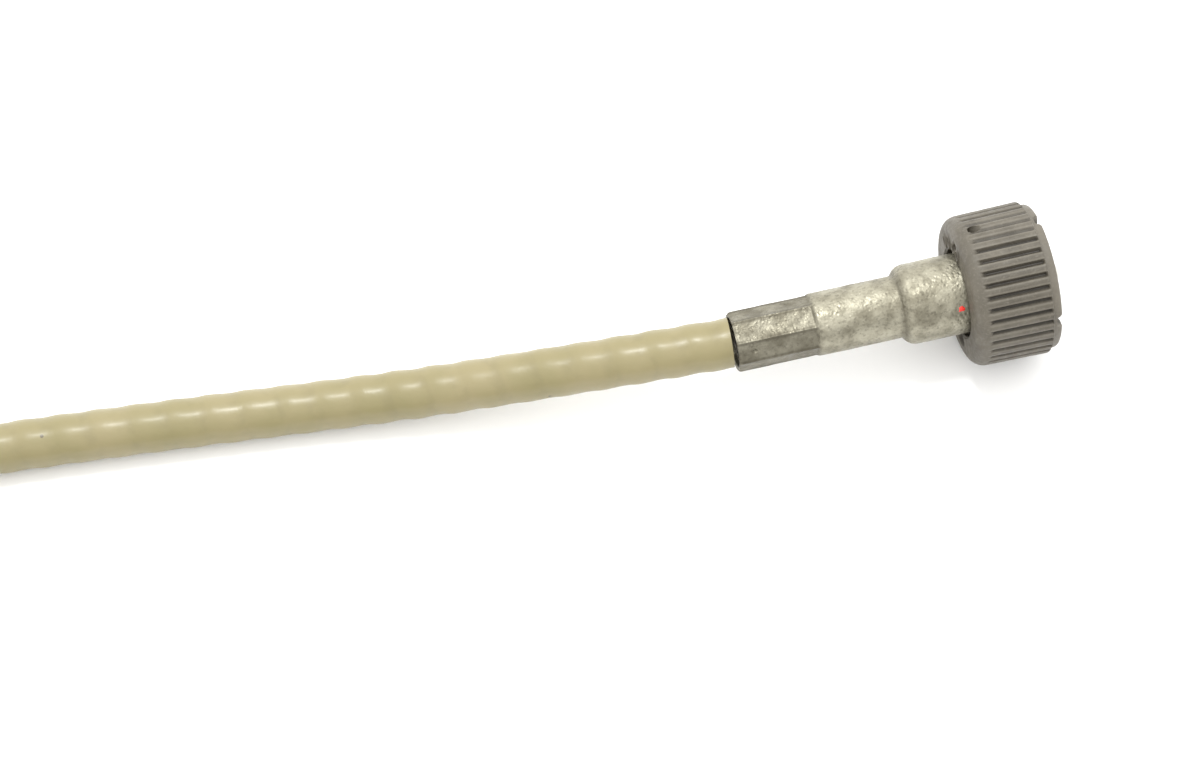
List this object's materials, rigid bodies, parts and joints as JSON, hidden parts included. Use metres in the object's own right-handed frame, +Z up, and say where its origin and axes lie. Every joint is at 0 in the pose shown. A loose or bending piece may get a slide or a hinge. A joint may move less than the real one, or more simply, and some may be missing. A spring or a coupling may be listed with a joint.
{
  "type": "flexible drive cable",
  "caption": "Flexible instrument drive cable: crimped steel end sleeve, loose ribbed plastic union nut, square drive tip, ribbed khaki casing and a small coiled tail with a hexagonal far nut.",
  "frame": {"origin": "on the surface below the middle of the near fitting, from its sleeve mouth to its drive tip's end", "axes": "+X along the near fitting's axis towards its drive tip, +Z up, the cable leaving towards -X"},
  "size_m": [0.2797, 0.0982, 0.0292],
  "materials": {
    "zinc_sleeve": "dull zinc plate, pitted and weathered, grey-olive",
    "nut_plastic": "moulded grey-brown plastic, fine grain, dusty",
    "casing_plastic": "khaki vinyl, half gloss, finely ribbed by the winding under it",
    "brass": "stamped, plain",
    "seal_rubber": "black moulded rubber",
    "bush_bronze": "sintered bronze, oiled",
    "bright_steel": "turned, lightly oiled",
    "wound_steel": "wound wire, greased",
    "washer_nylon": "natural nylon",
    "plated_nut": "dull zinc plate",
    "tie_nylon": "black moulded nylon"
  },
  "bodies": {
    "casing": {"end_sleeve": "zinc_sleeve", "guide_bush": "bush_bronze", "seal_ring": "seal_rubber", "sheath_end": "casing_plastic", "conduit_end": "wound_steel", "cable_run": "casing_plastic", "cable_coil": "casing_plastic", "cable_tail": "casing_plastic", "coil_tie_1": "tie_nylon", "coil_tie_2": "tie_nylon", "far_sleeve": "zinc_sleeve", "far_guide_bush": "bush_bronze", "far_seal_ring": "seal_rubber", "far_conduit_end": "wound_steel", "far_sheath_end": "casing_plastic"},
    "nut_carrier": {"thrust_washer": "brass"},
    "nut": {"union_nut": "nut_plastic"},
    "shaft_float": {"shaft_washer": "washer_nylon"},
    "shaft": {"shaft_tip": "bright_steel", "inner_shaft": "wound_steel", "retaining_clip": "bright_steel"},
    "far_nut_carrier": {"far_thrust_washer": "brass"},
    "far_nut_body": {"far_nut": "plated_nut"},
    "far_shaft_float": {"far_shaft_washer": "washer_nylon"},
    "far_shaft": {"far_shaft_tip": "bright_steel", "far_inner_shaft": "wound_steel"}
  },
  "joints": [
    {"name": "nut_slide", "type": "slide", "parent": "casing", "child": "nut_carrier", "axis": [1, 0, 0], "range_m": [-0.034, 0]},
    {"name": "nut_spin", "type": "hinge", "parent": "nut_carrier", "child": "nut", "pos_m": [0.0166, 0, 0.012], "axis": [1, 0, 0], "continuous": true},
    {"name": "shaft_slide", "type": "slide", "parent": "casing", "child": "shaft_float", "axis": [1, 0, 0], "range_m": [-0.0015, 0]},
    {"name": "shaft_spin", "type": "hinge", "parent": "shaft_float", "child": "shaft", "pos_m": [0.012, 0, 0.012], "axis": [1, 0, 0], "continuous": true},
    {"name": "far_nut_slide", "type": "slide", "parent": "casing", "child": "far_nut_carrier", "axis": [-1, 0, 0], "range_m": [-0.015, 0]},
    {"name": "far_nut_spin", "type": "hinge", "parent": "far_nut_carrier", "child": "far_nut_body", "pos_m": [-0.2325, 0.0032, 0.01942], "axis": [-1, 0, 0], "continuous": true},
    {"name": "far_shaft_slide", "type": "slide", "parent": "casing", "child": "far_shaft_float", "axis": [-1, 0, 0], "range_m": [0, 0.0015]},
    {"name": "far_shaft_spin", "type": "hinge", "parent": "far_shaft_float", "child": "far_shaft", "pos_m": [-0.23, 0.0032, 0.01942], "axis": [-1, 0, 0], "continuous": true}
  ],
  "couplings": [
    {"joint": "far_shaft_slide", "follows": "shaft_slide", "ratio": -1},
    {"joint": "far_shaft_spin", "follows": "shaft_spin", "ratio": -1}
  ]
}
